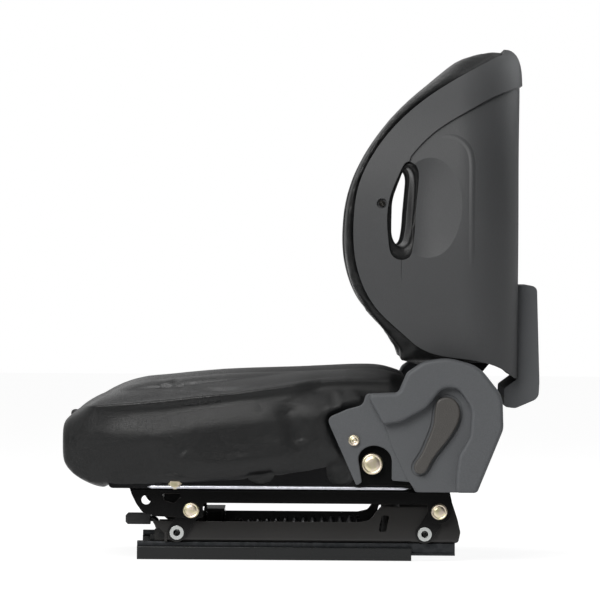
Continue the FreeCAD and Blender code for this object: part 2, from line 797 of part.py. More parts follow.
dimples = [
    rod(f"pan_dimple_{i}", "dimple_radius", (x, "-pan_half_width - 1", "upper_top + 24"), "2 * pan_half_width + 2")
    for i, x in enumerate((-18, 85))
]
pan_bolt_x = -127
pan_bolt = flange_bolt("pan_bolt_left", "pan_bolt_radius", "pan_bolt_head - 2.5", "pan_bolt_head",
                       pan_bolt_x, "pan_half_width", "upper_top + 8", "pan_wall", 6)
bolt_space = rod("pan_bolt_space", "pan_bolt_head + 2",
                 (pan_bolt_x, "-pan_half_width - 12", "upper_top + 8"), "2 * pan_half_width + 24")
pan_bolt_hole = rod("pan_bolt_hole", "pan_bolt_radius",
                    (pan_bolt_x, "-pan_half_width - 1", "upper_top + 8"), "2 * pan_half_width + 2")
piece(less("seat_pan", pan_outer, [pan_cavity, pan_bolt_hole] + dimples))
piece(group("pan_bolts", [pan_bolt, mirrored("pan_bolt_right", pan_bolt)]))

# Seat cushion: foam in a vinyl cover, a bolster on each side that slopes down to a soft outer edge

STATIONS = [
    # along X, outer edge, middle, top of the bolster, skin's lower edge, share of the full width
    (-273, 166, 167, 168, 134, 0.90),
    (-262, 184, 186, 187, 112, 0.945),
    (-240, 191, 197, 199, 99, 0.97),
    (-205, 193.5, 206, 215, 96.5, 0.99),
    (-150, 196, 210, 227, 101.5, 1.0),
    (-70, 207.5, 211, 235, 111, 1.0),
    (20, 220, 211, 239, 121, 1.0),
    (100, 228.5, 211, 243, 127, 0.99),
    (172, 229, 210, 238, 131, 0.95),
]
cushion_y = size("cushion_half_width")
cushion_sections = []
for number, (x, fold, middle, top, skirt, share) in enumerate(STATIONS):
    edge = cushion_y * share
    right_half = [
        (0.4 * edge, 0.8 * middle + 0.2 * top), (0.6 * edge, 0.3 * middle + 0.7 * top), (0.74 * edge, top),
        (0.86 * edge, 0.6 * top + 0.4 * fold), (0.955 * edge, fold - 3), (0.985 * edge, fold - 14),
        (edge, 0.45 * fold + 0.55 * skirt),
    ]
    left_half = [(-a, b) for a, b in reversed(right_half)]
    crown = smooth(left_half + [(0, middle)] + right_half)
    section = chain(crown, (0.985 * edge, skirt), (-0.985 * edge, skirt))
    cushion_sections.append(sketch_at(f"cushion_section_{number}", section, FRONT_VIEW, (x, 0, 0)))
cushion_upper = lofted("cushion_upper", cushion_sections)
soft = size("soft_gap")
cushion_core_outline = outline([
    (pan_front + pan_sheet + soft, pan_floor + pan_sheet + soft, 6),
    (pan_rear - pan_sheet - soft, pan_floor + pan_sheet + soft, 6), (pan_rear - pan_sheet - soft, rear_rise + 20),
    (pan_front + pan_sheet + soft, rear_rise + 20),
])
cushion_core = extruded("cushion_core", sketch_at("cushion_core_side", cushion_core_outline),
                        "2 * (pan_half_width - pan_wall - soft_gap)", True)
pan_swell_outline = outline([
    (pan_front - soft, pan_floor - 1, 6), (pan_rear + soft, pan_floor - 1, 6), (pan_rear + soft, rear_rise + soft),
    (60, rear_rise - 2 + soft, 40), (-20, rear_rise - 5 + soft, 60), (pan_front - soft, front_rise + soft),
])
pan_swell = extruded("pan_swell", sketch_at("pan_swell_side", pan_swell_outline),
                     "2 * (pan_half_width + soft_gap)", True)
hinge_x = size("hinge_back")
hinge_z = size("hinge_height")
side_space_outline = outline([
    (hinge_x - 157, hinge_z - 6), (hinge_x - 129, hinge_z + 6), (hinge_x - 109, hinge_z + 12),
    (hinge_x - 107, hinge_z + 60), (hinge_x + 79, hinge_z + 60), (hinge_x + 79, 88), (hinge_x - 118, 88),
])
side_spaces = [
    extruded(f"side_space_{side}", sketch_at(f"side_space_outline_{side}", side_space_outline,
                                             place=(0, side * (size("pan_half_width") - soft), 0)), 40, way=(0, side, 0))
    for side in (-1, 1)
]
cushion_skirt = less("cushion_skirt", cushion_upper, [pan_swell, bolt_space] + side_spaces)
piece(fused("seat_cushion", [cushion_skirt, cushion_core]))

# Recliner: ears bolted to the pan, arms inside the back, a pin through both

ear_x = size("ear_bolt_back")
ear_z = size("ear_bolt_height")
ear_edges = outline([
    (ear_x - 24, ear_z - 28, 16), (ear_x + 84, ear_z - 28, 12), (hinge_x + 26, hinge_z - 14, 24),
    (hinge_x + 22, hinge_z + 26, 24), (hinge_x - 24, hinge_z + 24, 20), (ear_x + 42, ear_z + 36, 30),
    (ear_x - 24, ear_z + 22, 18),
])
ear_left = piece(padded_body("recliner_ear_left", "XZ_Plane", ear_edges, "pan_half_width", "ear_thickness", [
    (hinge_x, hinge_z, "hinge_radius + running_clearance"),
    (ear_x, ear_z, "ear_bolt_radius"),
]))
piece(mirrored("recliner_ear_right", ear_left))
ear_face = "pan_half_width + ear_thickness"
ear_bolt = flange_bolt("ear_bolt_left", "ear_bolt_radius", "ear_bolt_head - 3.5", "ear_bolt_head",
                       "ear_bolt_back", ear_face, "ear_bolt_height", "ear_thickness", 11)
piece(group("ear_bolts", [ear_bolt, mirrored("ear_bolt_right", ear_bolt)]))

frame_x = size("frame_back")
arm_edges = outline([
    (hinge_x - 22, hinge_z - 22, 21.9), (hinge_x + 22, hinge_z - 22, 21.9), (hinge_x + 26, hinge_z + 30, 20),
    (frame_x + 7, hinge_z + 78, 16), (frame_x + 7, hinge_z + 150, 8), (frame_x - 12, hinge_z + 150, 8),
    (frame_x - 24, hinge_z + 92, 24), (hinge_x - 22, hinge_z + 34, 20),
])
arm_left = piece(padded_body("recliner_arm_left", "XZ_Plane", arm_edges, "arm_inner", "arm_thickness", [
    (hinge_x, hinge_z, "hinge_radius"),
]))
piece(mirrored("recliner_arm_right", arm_left))
pin = fused("hinge_pin_left", [
    rod("hinge_pin_shank", "hinge_radius", ("hinge_back", f"-({ear_face})", "hinge_height"),
        f"{ear_face} - arm_inner + 2"),
    rod("hinge_pin_spacer", "hinge_radius + 4", ("hinge_back", "-pan_half_width + 0.3", "hinge_height"),
        "pan_half_width - 0.3 - arm_inner - arm_thickness"),
])
piece(group("hinge_pins", [pin, mirrored("hinge_pin_right", pin)]))

# Side covers: moulded shells over the recliner: a thin flap in front, a panel for the lever and a
# raised rim that arches round it

cover_base = size("upper_top") - 2
notch = size("ear_bolt_head") + 11


def from_hinge(corners):
    """Corners given as distances from the hinge line."""
    return [(hinge_x + corner[0], hinge_z + corner[1], *corner[2:]) for corner in corners]


rim_back = from_hinge([
    (-105, 23.5, 6), (-64, 25.5, 7), (-53, 51, 12), (-33, 65, 30), (-2, 70.5, 60), (38, 60, 44),
    (68.5, 22, 34), (70, -20, 24),
]) + [(258, cover_base, 6)]
cover_edges = outline(from_hinge([(-155, -8, 8), (-129, 3.5, 12), (-109, 9, 10)]) + rim_back + [
    (180, cover_base, 4), (172, 103.5, 4), (ear_x + notch, 105, 3), (ear_x + notch, ear_z + 16, 20),
    (ear_x, ear_z + notch + 1, 22), (ear_x - notch + 6, ear_z + 14, 16), (ear_x - notch + 12, ear_z - 23, 2.6),
    (ear_x - notch + 5, ear_z - 28, 2.6),
])
panel_edges = outline(rim_back + [(182, cover_base, 6), (168.8, 107.2, 30)]
                      + from_hinge([(-73, -41.5, 20), (-81, -14.5, 20)]))
rim_edges = outline(rim_back + [(230, cover_base, 6), (231, 116, 14)] + from_hinge([
    (13, -54, 16), (27, -30, 24), (29, 6, 24), (12, 32, 16), (-8, 32, 16), (-28, 6, 30), (-60, -11.5, 24),
    (-82.5, -15.5, 6),
]))
cover_y = size("cover_inner")
flap_face = sketch_at("cover_outline", cover_edges, place=(0, -cover_y, 0))
panel_face = sketch_at("panel_outline", panel_edges, place=(0, -cover_y, 0))
rim_face = sketch_at("rim_outline", rim_edges, place=(0, -cover_y, 0))
levels = [("flap", flap_face, "cover_flap_depth", 1.5), ("panel", panel_face, "cover_depth", 1.5),
          ("rim", rim_face, "hump_depth", 5)]
cover_outer = fused("cover_outer", [
    rounded(f"cover_{part}", extruded(f"cover_{part}_block", face, depth), fillet, cover_y + size(depth))
    for part, face, depth, fillet in levels
])
cover_inner = fused("cover_hollow", [
    extruded(f"cover_{part}_hollow", inset(f"{part}_inset", face, "cover_wall"), f"{depth} - cover_wall")
    for part, face, depth, fillet in levels
])
screw_x = 101
screw_z = 156
screw_hole = rod("cover_screw_hole", "cover_screw_radius - 0.6",
                 (screw_x, "-cover_inner - cover_flap_depth - 1", screw_z), "cover_flap_depth")

# Recline lever: curved from its round head to the finger end, over a shallow groove of the left cover

lever_ring = from_hinge([
    (-15.5, 12.5), (-17.5, 0), (-19, -14), (-26, -34), (-37, -57), (-43.5, -70), (-41, -76), (-32, -77),
    (-23, -65), (-6, -41), (9.5, -18), (14.6, -2), (11, 13), (-1, 20),
])
lever_plate = padded_body("lever_plate", "XZ_Plane", closed_curve(lever_ring), "cover_inner + cover_depth + 0.5",
                          "lever_thickness")
lever_top = cover_y + size("cover_depth") + 0.5 + size("lever_thickness")
spindle = rod("lever_spindle", "spindle_radius",
              ("hinge_back", "-cover_inner - cover_depth - 2", "hinge_height"), "cover_depth + 1.8")
groove_level = 1.2 - cover_y - size("cover_depth")
groove = extruded("lever_groove", sketch_at("lever_groove_outline", closed_curve(grown(lever_ring, 3.2)),
                                            place=(0, groove_level, 0)), 3)
cover_blank = less("side_cover_blank", cover_outer, [cover_inner, screw_hole])
spindle_hole = rod("spindle_hole", "spindle_radius + running_clearance",
                   ("hinge_back", "-cover_inner - cover_depth - 1", "hinge_height"), "cover_depth")
piece(less("side_cover_left", cover_blank, [spindle_hole, groove]))
piece(mirrored("side_cover_right", cover_blank))
cover_screw = fused("cover_screw_left", [
    rod("cover_screw_washer", "cover_screw_radius + 3.4",
        (screw_x, "-cover_inner - cover_flap_depth - 1.2", screw_z), 1.2),
    rod("cover_screw_head", "cover_screw_radius", (screw_x, "-cover_inner - cover_flap_depth - 3.6", screw_z), 2.4),
])
piece(group("cover_screws", [cover_screw, mirrored("cover_screw_right", cover_screw)]))
piece(fused("recline_lever", [rounded("lever_rounded", lever_plate, 2.5, lever_top), spindle]))

# Back: a moulded shell with two wings, lofted from level sections and trimmed by its side view

frame_y = size("arm_inner") - size("frame_tube_radius")
BACK_SECTIONS = [
    # height, half width, rear face, corner radius, height of the handle band over the surface
    (228, -28, 0, 60, -3),
    (262, -21, 0, 64, -2),
    (330, -11, 0, 68, -0.8),
    (430, 0, 0, 72, 2.4),
    (520, -7, 0, 76, 3),
    (590, -35, 1.5, 80, 3.4),
    (632, -68, 1, 80, 3.6),
    (653, -99, -6, 70, 3.6),
    (659, -117, -14, 60, 3.4),
]
TOE_IN = 8
OPEN_FRONT = 40
back_width = size("back_half_width")
back_rear = size("back_rear")


def back_block(name, offset, roof, share=0):
    """The space inside the back at a distance from its outside, or out to a share of the band."""
    sections = []
    for number, (height, narrower, deeper, corner, band) in enumerate(BACK_SECTIONS):
        width = back_width + narrower - offset + share * band
        rear_face = back_rear + deeper - offset + share * band
        if number == len(BACK_SECTIONS) - 1:
            height -= roof
        if number == len(BACK_SECTIONS) - 2:
            height -= 0.7 * roof
        edges = outline([
            (OPEN_FRONT, -width + TOE_IN), (rear_face, -width, corner - offset),
            (rear_face, width, corner - offset), (OPEN_FRONT, width - TOE_IN),
        ])
        sections.append(sketch_at(f"{name}_section_{number}", edges, Rotation(), (0, 0, height)))
    return lofted(name, sections)


FRONT_EDGE = [(291.7, 653), (238.7, 624), (179, 584), (145, 551), (119.6, 515), (104.3, 479), (98.6, 436),
              (101.5, 385), (129.5, 323), (155.4, 298), (172.5, 283)]
shell_front = smooth(FRONT_EDGE)
shell_bottom = smooth([(172.5, 283), (206.6, 265), (258, 257.5), (297, 243), (307, 235)])
shell_side = sketch_at("shell_side", chain((330, 235), (330, 680), (296, 680), shell_front, shell_bottom))
shell_prism = extruded("shell_prism", shell_side, "4 * back_half_width", True)
band_side = sketch_at("band_side", chain((330, 680), (296, 680), smooth(FRONT_EDGE), (160, 290), (160, 480),
                                         smooth([(171, 518), (188, 537.6), (203, 551), (218.7, 562),
                                                 (247.6, 579), (282, 598), (302, 606), (330, 617)])))
band_prism = extruded("band_prism", band_side, "4 * back_half_width", True)

skin_front = smooth([(284, 659), (262, 654.5), (238.6, 646), (204.5, 620), (170.5, 592.4), (136.4, 556), (111, 516.6),
                     (94, 473.6), (87.3, 427), (87.2, 405), (97.4, 356), (114, 322.8), (147, 282.7),
                     (160, 269)])
pad_back = size("pad_rear")
pad_top = size("frame_top") + 15
skin_side = sketch_at("skin_side", chain((pad_back, 254), (pad_back, pad_top), (291, pad_top + 30), (291, 656),
                                         skin_front, (157, 254)))
skin_prism = extruded("skin_prism", skin_side, "4 * back_half_width", True)
roll_side = sketch_at("roll_side", chain((283, 680), skin_front, smooth([(a - 1, b) for a, b in reversed(FRONT_EDGE)]),
                                         (295, 680)))
roll_prism = extruded("roll_prism", roll_side, "4 * back_half_width", True)

hole_edges = closed_curve([(171.5, 511), (180, 503), (181.5, 490), (178.5, 454), (174.5, 402), (169, 389),
                           (158, 386.5), (149, 391), (143.5, 409), (141.5, 430), (145, 467), (157, 497)])
hole_prism = extruded("hole_prism", sketch_at("hole_side", hole_edges), "4 * back_half_width", True)
pad_hole_edges = closed_curve([(167, 506), (172, 498), (172.5, 486), (170, 450), (166.5, 414), (161, 404),
                               (153, 404), (147.5, 412), (145, 430), (148.5, 467), (158, 495)])
pad_hole_prism = extruded("pad_hole_prism", sketch_at("pad_hole_side", pad_hole_edges), "4 * back_half_width",
                          True)

SCOOP_SECTIONS = [
    # height, depth, front end, ridge at the rear
    (345, -6, 176, 232),
    (375, 3, 170, 243),
    (410, 10, 166, 247),
    (450, 12.5, 164, 248.5),
    (495, 12, 166, 249.5),
    (525, 8, 176, 245),
    (548, 2, 190, 228),
    (562, -6, 200, 218),
]


def scoop(name, extra, side):
    """The broad scoop behind the handle hole, deep at the hole and rising to an upright ridge."""
    sections = []
    for number, (height, depth, nearer, ridge) in enumerate(SCOOP_SECTIONS):
        surface = side * (back_width + 1)
        inner = side * (back_width - depth - extra)
        slope = smooth([
            (nearer - 2 * extra, surface), (nearer + 4 - extra, 0.35 * surface + 0.65 * inner), (nearer + 16, inner),
            (0.45 * nearer + 0.55 * ridge, 0.2 * surface + 0.8 * inner), (ridge + 3 * extra, surface),
        ])
        wire = chain(slope, (ridge + 3 * extra, side * (back_width + 30)), (nearer - 2 * extra, side * (back_width + 30)))
        sections.append(sketch_at(f"{name}_section_{number}", wire, Rotation(), (0, 0, height)))
    return lofted(name, sections)


PAD_SECTIONS = [
    # height, pad's face, half width of the sitter's space
    (225, 190, 186),
    (300, 178, 190),
    (400, 192, 194),
    (500, 215, 188),
    (590, 240, 162),
    (632, 256, 138),
    (655, 272, 118),
    (670, 282, 104),
]
sitter_sections = []
for number, (height, face, width) in enumerate(PAD_SECTIONS):
    edges = outline([(OPEN_FRONT - 20, -width), (face, -width, 55), (face, width, 55), (OPEN_FRONT - 20, width)])
    sitter_sections.append(sketch_at(f"sitter_section_{number}", edges, Rotation(), (0, 0, height)))
sitter_space = lofted("sitter_space", sitter_sections)

shell_outer = back_block("shell_outer", 0, 0)
shell_raw = less("shell_raw", shell_outer, [back_block("shell_inner", size("back_wall"), 5)])
shell_trimmed = shared("shell_trimmed", shell_raw, shell_prism)
scoops = [scoop(f"scoop_{side + 1}", 0, side) for side in (-1, 1)]
scoop_skins = [scoop(f"scoop_skin_{side + 1}", size("back_wall"), side) for side in (-1, 1)]
bosses = [
    rod(f"frame_boss_{side + 1}_{height}", 7, ("frame_back + frame_tube_radius + 0.3", side * frame_y, height), 24, ALONG_X)
    for side in (-1, 1) for height in (330, 480)
]
scoop_walls = shared("scoop_walls", group("scoop_skins", scoop_skins + bosses), shell_outer)
band_solid = less("band_solid", shared("band_raw", back_block("band_block", 0, 0, 1), band_prism),
                  [back_block("band_core", 1, 1)])
shell_joined = fused("shell_joined", [shell_trimmed, scoop_walls, band_solid])
screw_level = "back_half_width - 6.5"
screw_seats = [
    rod(f"handle_screw_seat_{side + 1}", "handle_screw_radius + 2.5", (134.6, y, 458), 20)
    for side, y in ((-1, f"-({screw_level}) - 20"), (1, screw_level))
]
piece(less("back_shell", shell_joined, scoops + [hole_prism] + screw_seats))
handle_screw = rod("handle_screw_left", "handle_screw_radius", (134.6, f"-({screw_level}) - 2.4", 458), 2.4)
piece(group("handle_screws", [handle_screw, mirrored("handle_screw_right", handle_screw)]))

# Back cushion: foam in a vinyl cover, filling the shell and rolled over its front edge

pad_offset = size("back_wall") + soft
pad_core = shared("pad_core", back_block("pad_block", pad_offset, 5 + soft), skin_prism)
pad_roll = shared("pad_roll", back_block("roll_block", 1, 1, 0.6), roll_prism)
pad_raw = fused("pad_raw", [pad_core, pad_roll])
arm_spaces = [
    block(f"arm_space_{side + 1}",
          ("hinge_back - 26", f"{side} * (arm_inner + arm_thickness / 2) - 8", "hinge_height"),
          ("pad_rear + 10", f"{side} * (arm_inner + arm_thickness / 2) + 8", "hinge_height + 154"))
    for side in (-1, 1)
]
scoop_spaces = [scoop(f"scoop_space_{side + 1}", pad_offset, side) for side in (-1, 1)]
piece(less("back_cushion", pad_raw, [sitter_space, pad_hole_prism] + arm_spaces + scoop_spaces))

# Back frame: one bent tube welded inside the arms, with a cross tube at the foot

frame_foot = size("frame_foot")
frame_top = size("frame_top")
hoop_corners = [(-frame_y, frame_foot), (-frame_y, frame_top), (frame_y, frame_top), (frame_y, frame_foot)]
frame_plane = Placement(Vector(frame_x, 0, 0), FRONT_VIEW)
hoop = less("frame_hoop", bent_bar("hoop_tube", size("frame_tube_radius"), hoop_corners, size("frame_bend"),
                                   frame_plane), [
    bent_bar("hoop_bore", size("frame_tube_bore"), hoop_corners, size("frame_bend"), frame_plane),
])
cross = rod("frame_cross_bar", "frame_tube_radius - 1", ("frame_back", -frame_y, "frame_foot + 20"),
            2 * frame_y)
cross_inside = less("frame_cross", cross, [
    rod(f"frame_cross_end_{side + 1}", "frame_tube_radius - 0.5",
        ("frame_back", side * frame_y, "frame_foot"), 60, Rotation()) for side in (-1, 1)
])
piece(fused("back_frame", [hoop, cross_inside]))

# Rear cover: a shallow moulded box low on the back

cover_depth = size("rear_cover_depth")
rear_low = 196
rear_edges = outline([
    (back_rear + 0.3, 354, 2), (back_rear + cover_depth - 4, 354, 8), (back_rear + cover_depth, 230, 60),
    (back_rear + cover_depth - 1, 209, 12), (back_rear - 2, rear_low, 12), (back_rear - 17, 198, 5),
    (back_rear - 16, 222, 4), (back_rear + 0.3, 234, 4),
])
rear_face = sketch_at("rear_cover_side", rear_edges)
rear_outer = extruded("rear_cover_outer", rear_face, "2 * rear_cover_half_width", True)
rear_hollow = extruded("rear_cover_hollow", inset("rear_cover_inset", rear_face, "rear_cover_wall"),
                       "2 * (rear_cover_half_width - rear_cover_wall)", True)
rear_mouth = block("rear_cover_mouth", ("back_rear - 1", "rear_cover_wall - rear_cover_half_width", 242),
                   ("back_rear + 6", "rear_cover_half_width - rear_cover_wall", 348))
piece(less("rear_cover", rear_outer, [rear_hollow, rear_mouth]))

doc.recompute()

# Slide grip chamfers need the blank's edges
grip.Edges = [(number, 3.0, 3.0) for number in (1, 2, 3, 4)]
piece(grip)
doc.recompute()

# Checks and export

failed = [item.Name for item in doc.Objects if {"Invalid", "Error"} & set(item.State)]
for shape in nodes:
    if shape.Shape.isNull() or not shape.Shape.isValid():
        failed.append(shape.Label + " shape")
if failed:
    raise RuntimeError("not built: " + ", ".join(failed))

os.makedirs("parts", exist_ok=True)
for shape in nodes:
    shape.Shape.exportStep(f"parts/{shape.Label}.step")
    box = shape.Shape.BoundBox
    print(f"{shape.Label:24s} solids {len(shape.Shape.Solids):2d} volume {shape.Shape.Volume / 1000:9.1f} cm3 "
          f"X {box.XMin:7.1f} {box.XMax:7.1f} Y {box.YMin:7.1f} {box.YMax:7.1f} Z {box.ZMin:6.1f} {box.ZMax:6.1f}")
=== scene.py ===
import json
import math

import bmesh
import bpy
import numpy as np
from mathutils import Matrix, Quaternion, Vector
from mathutils.bvhtree import BVHTree


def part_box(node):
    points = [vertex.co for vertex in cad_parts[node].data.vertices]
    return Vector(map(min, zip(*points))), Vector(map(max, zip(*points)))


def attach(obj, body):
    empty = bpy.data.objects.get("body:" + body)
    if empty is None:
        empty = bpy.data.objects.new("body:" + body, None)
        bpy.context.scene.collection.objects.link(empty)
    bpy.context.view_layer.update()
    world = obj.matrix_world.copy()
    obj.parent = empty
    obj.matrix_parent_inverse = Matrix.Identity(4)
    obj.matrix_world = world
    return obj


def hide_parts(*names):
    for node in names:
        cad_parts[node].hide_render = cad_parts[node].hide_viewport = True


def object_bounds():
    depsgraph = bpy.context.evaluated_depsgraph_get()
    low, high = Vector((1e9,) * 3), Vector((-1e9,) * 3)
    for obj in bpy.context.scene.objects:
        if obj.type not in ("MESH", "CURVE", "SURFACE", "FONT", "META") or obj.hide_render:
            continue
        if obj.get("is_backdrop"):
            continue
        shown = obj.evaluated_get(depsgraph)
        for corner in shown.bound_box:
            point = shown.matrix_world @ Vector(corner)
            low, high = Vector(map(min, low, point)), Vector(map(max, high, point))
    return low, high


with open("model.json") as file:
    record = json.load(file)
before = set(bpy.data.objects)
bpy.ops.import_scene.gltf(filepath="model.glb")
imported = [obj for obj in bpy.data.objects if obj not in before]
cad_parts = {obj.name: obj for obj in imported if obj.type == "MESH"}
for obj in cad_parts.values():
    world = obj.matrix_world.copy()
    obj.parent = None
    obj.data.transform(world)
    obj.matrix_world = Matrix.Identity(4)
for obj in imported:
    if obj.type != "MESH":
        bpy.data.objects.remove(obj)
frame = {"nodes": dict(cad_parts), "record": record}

cad_low, cad_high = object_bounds()
scene = bpy.context.scene

# Camera and lamps
# The seat is looked at square from its left side, from far off and a little above, with the slight tilt of
# a hand-set tripod. The main lamp stands on the camera's side, weak ones over the seat and far behind it.
camera_height = math.radians(0.5)
camera_tilt = 0.007
camera_distance = 8.8
near_side = Vector((0.031, -0.2, 0.334))
seen_width = 0.768
lamp_aim = Vector((0, 0, 0.3))

camera = bpy.data.objects.new("camera", bpy.data.cameras.new("camera"))
scene.collection.objects.link(camera)
scene.camera = camera
camera.data.lens = camera.data.sensor_width * camera_distance / seen_width
towards_camera = Vector((0, -math.cos(camera_height), math.sin(camera_height)))
camera.location = near_side + towards_camera * camera_distance
turn = (-towards_camera).to_track_quat("-Z", "Y") @ Quaternion((0, 0, 1), camera_tilt)
camera.rotation_euler = turn.to_euler()
camera.data.clip_start = 0.5
camera.data.clip_end = 60

for name, place, size, power, colour in (
    ("lamp_front_left", (-1.05, -2.85, 1.95), 2.0, 90, (1.0, 0.995, 0.98)),
    ("lamp_over", (-0.3, 0.3, 2.8), 1.0, 14, (1.0, 1.0, 1.0)),
    ("lamp_back_right", (2.4, 1.8, 2.0), 2.0, 26, (0.96, 0.98, 1.0)),
):
    lamp = bpy.data.objects.new(name, bpy.data.lights.new(name, "AREA"))
    scene.collection.objects.link(lamp)
    lamp.location = place
    lamp.rotation_euler = (lamp_aim - Vector(place)).to_track_quat("-Z", "Y").to_euler()
    lamp.data.size = size
    lamp.data.energy = power
    lamp.data.color = colour

scene.view_settings.view_transform = "Standard"


# Floor and room
# A seamless white paper sweep is laid under the seat in a white room. It keeps the seat's soft shadow and
# shows white to the camera. Polished parts see it too, darker on the camera's side and to the seat's rear.
class Signal:
    """One output of a finish's nodes. Arithmetic on signals adds Math nodes."""

    def __init__(self, tree, socket=None):
        self.tree = tree
        self.socket = socket

    def make(self, kind, settings=None, sockets=None, output=0):
        """Adds a node: its settings first, then the values or links of its sockets."""
        node = self.tree.nodes.new("ShaderNode" + kind)
        for key, value in (settings or {}).items():
            setattr(node, key, value)
        for key, value in (sockets or {}).items():
            if isinstance(value, Signal):
                self.tree.links.new(value.socket, node.inputs[key])
            else:
                node.inputs[key].default_value = value
        return Signal(self.tree, node.outputs[output] if node.outputs else None)

    def axis(self, letter):
        """One coordinate of a point or direction."""
        return self.make("SeparateXYZ", {}, {0: self}, letter)

    def math(self, operation, *terms):
        return self.make("Math", {"operation": operation}, dict(enumerate(terms)))

    def __add__(self, other):
        return self.math("ADD", self, other)

    def __sub__(self, other):
        return self.math("SUBTRACT", self, other)

    def __rsub__(self, other):
        return self.math("SUBTRACT", other, self)

    def __mul__(self, other):
        return self.math("MULTIPLY", self, other)

    __radd__ = __add__
    __rmul__ = __mul__

    def between(self, low, high, start=0.0, end=1.0):
        """The signal stretched from one range to another, smoothly and held at the ends."""
        return self.make("MapRange", {"interpolation_type": "SMOOTHSTEP"},
                         {0: self, 1: low, 2: high, 3: start, 4: end})

    def mix(self, one, other):
        """Two colours, by this signal from the first to the second."""
        return self.make("Mix", {"data_type": "RGBA"}, {0: self, 6: rgba(one), 7: rgba(other)}, 2)


def rgba(colour):
    return colour if isinstance(colour, Signal) else (*colour, 1)


def new_finish(name):
    """An empty material, with the start of its nodes and its points in the part's own frame."""
    material = bpy.data.materials.new(name)
    material.use_nodes = True
    material.node_tree.nodes.clear()
    start = Signal(material.node_tree)
    return material, start, start.make("TexCoord", output="Object")


floor_gap = 0.0005
glow_share = 0.64
white_paper = (0.86, 0.86, 0.86)
dim_paper = (0.06, 0.06, 0.06)

bpy.ops.mesh.primitive_plane_add(size=24, location=(0, 0, cad_low.z - floor_gap))
floor = bpy.context.object
floor.name = "studio_floor"
floor_finish, start, point = new_finish("studio_white")
seen = start.make("LightPath", output="Is Camera Ray")
in_gloss = start.make("LightPath", output="Is Glossy Ray")
camera_side = point.axis("Y").between(-1.4, -0.35, 1.0, 0.0) * in_gloss
paper = start.make("BsdfDiffuse", {}, {"Color": camera_side.mix(white_paper, dim_paper)})
glow = start.make("Emission", {}, {"Color": (1, 1, 1, 1), "Strength": 1.38})
share = start.math("MINIMUM", seen + in_gloss - camera_side, 1.0) * glow_share
sheet = start.make("MixShader", {}, {0: share, 1: paper, 2: glow})
start.make("OutputMaterial", {}, {"Surface": sheet})
floor.data.materials.append(floor_finish)
floor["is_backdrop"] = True

world = bpy.data.worlds.new("studio_world")
scene.world = world
world.use_nodes = True
world.node_tree.nodes.clear()
start = Signal(world.node_tree)
looked_at = start.math("MAXIMUM", start.make("LightPath", output="Is Camera Ray"),
                       start.make("LightPath", output="Is Transmission Ray"))
in_gloss = start.make("LightPath", output="Is Glossy Ray")
direction = start.make("TexCoord", output="Generated")
backdrop = direction.axis("Y").between(-0.35, 0.55) * direction.axis("Z").between(0.12, 0.4, 0.3, 1.0)
overhead = direction.axis("Z").between(0.05, 0.85)
front_to_rear = direction.axis("X").between(-0.3, 0.15, 1.3, 0.3)
room = start.math("MAXIMUM", backdrop, overhead).between(0.0, 1.0, 0.1, 1.0) * front_to_rear
level = start.math("MAXIMUM", looked_at, room * (in_gloss * 0.48 + 0.42))
background = start.make("Background", {}, {"Color": (1, 1, 1, 1), "Strength": level})
start.make("OutputWorld", {}, {"Surface": background})


# Floor rails and levers
# Rolled steel channels bolted to the truck's floor, a slide bar bent from round bar, and the weight lever's
# flat arm on its shaft. The gloss black powder coat has an orange-peel skin and wears on the edges.
def noise(start, point, scale, detail):
    return start.make("TexNoise", {}, {"Vector": point, "Scale": scale, "Detail": detail})


def edges_of(start, radius):
    """Near 1 on the part's outer edges, 0 on its faces."""
    rounded = start.make("Bevel", {"samples": 4}, {"Radius": radius})
    flat = start.make("NewGeometry", output="Normal")
    along = start.make("VectorMath", {"operation": "DOT_PRODUCT"}, {0: rounded, 1: flat}, "Value")
    return (1.0 - along).between(0.02, 0.22)


def close_finish(start, sockets, grain, depth, edge=0.0006):
    """The shader and its surface: grain as a bump on edges that are rounded by a small radius."""
    rounded = start.make("Bevel", {"samples": 4}, {"Radius": edge})
    bump = start.make("Bump", {}, {"Height": grain, "Distance": depth, "Strength": 1.0, "Normal": rounded})
    shader = start.make("BsdfPrincipled", {}, {**sockets, "Normal": bump})
    start.make("OutputMaterial", {}, {"Surface": shader})


def enamel(name, colour, roughness, worn):
    material, start, point = new_finish(name)
    cloud = noise(start, point, 9.0, 3.0)
    peel = noise(start, point, 420.0, 1.0)
    rub = edges_of(start, 0.0011) * noise(start, point, 60.0, 3.0).between(0.42, 0.68)
    coat = cloud.mix([c * 0.8 for c in colour], [c * 1.25 for c in colour])
    close_finish(start, {
        "Base Color": rub.mix(coat, worn),
        "Roughness": cloud.between(0.2, 0.8, roughness * 0.85, roughness * 1.2) + rub * 0.12,
        "Specular IOR Level": 0.14,
        "Coat Weight": 0.4,
        "Coat Roughness": 0.06,
    }, peel, 0.00004)
    return material


def paint(slot, finish, nodes=None):
    """Gives a finish to the CAD nodes of a material slot, or to some of them."""
    for row in frame["record"]["subparts"]:
        if row["material_slot"] == slot and (nodes is None or row["node"] in nodes):
            node = frame["nodes"][row["node"]]
            node.data.materials.clear()
            node.data.materials.append(finish)


rail_enamel = enamel("rail_enamel", (0.005, 0.0058, 0.0062), 0.28, (0.05, 0.052, 0.055))
paint("rail_steel", rail_enamel)


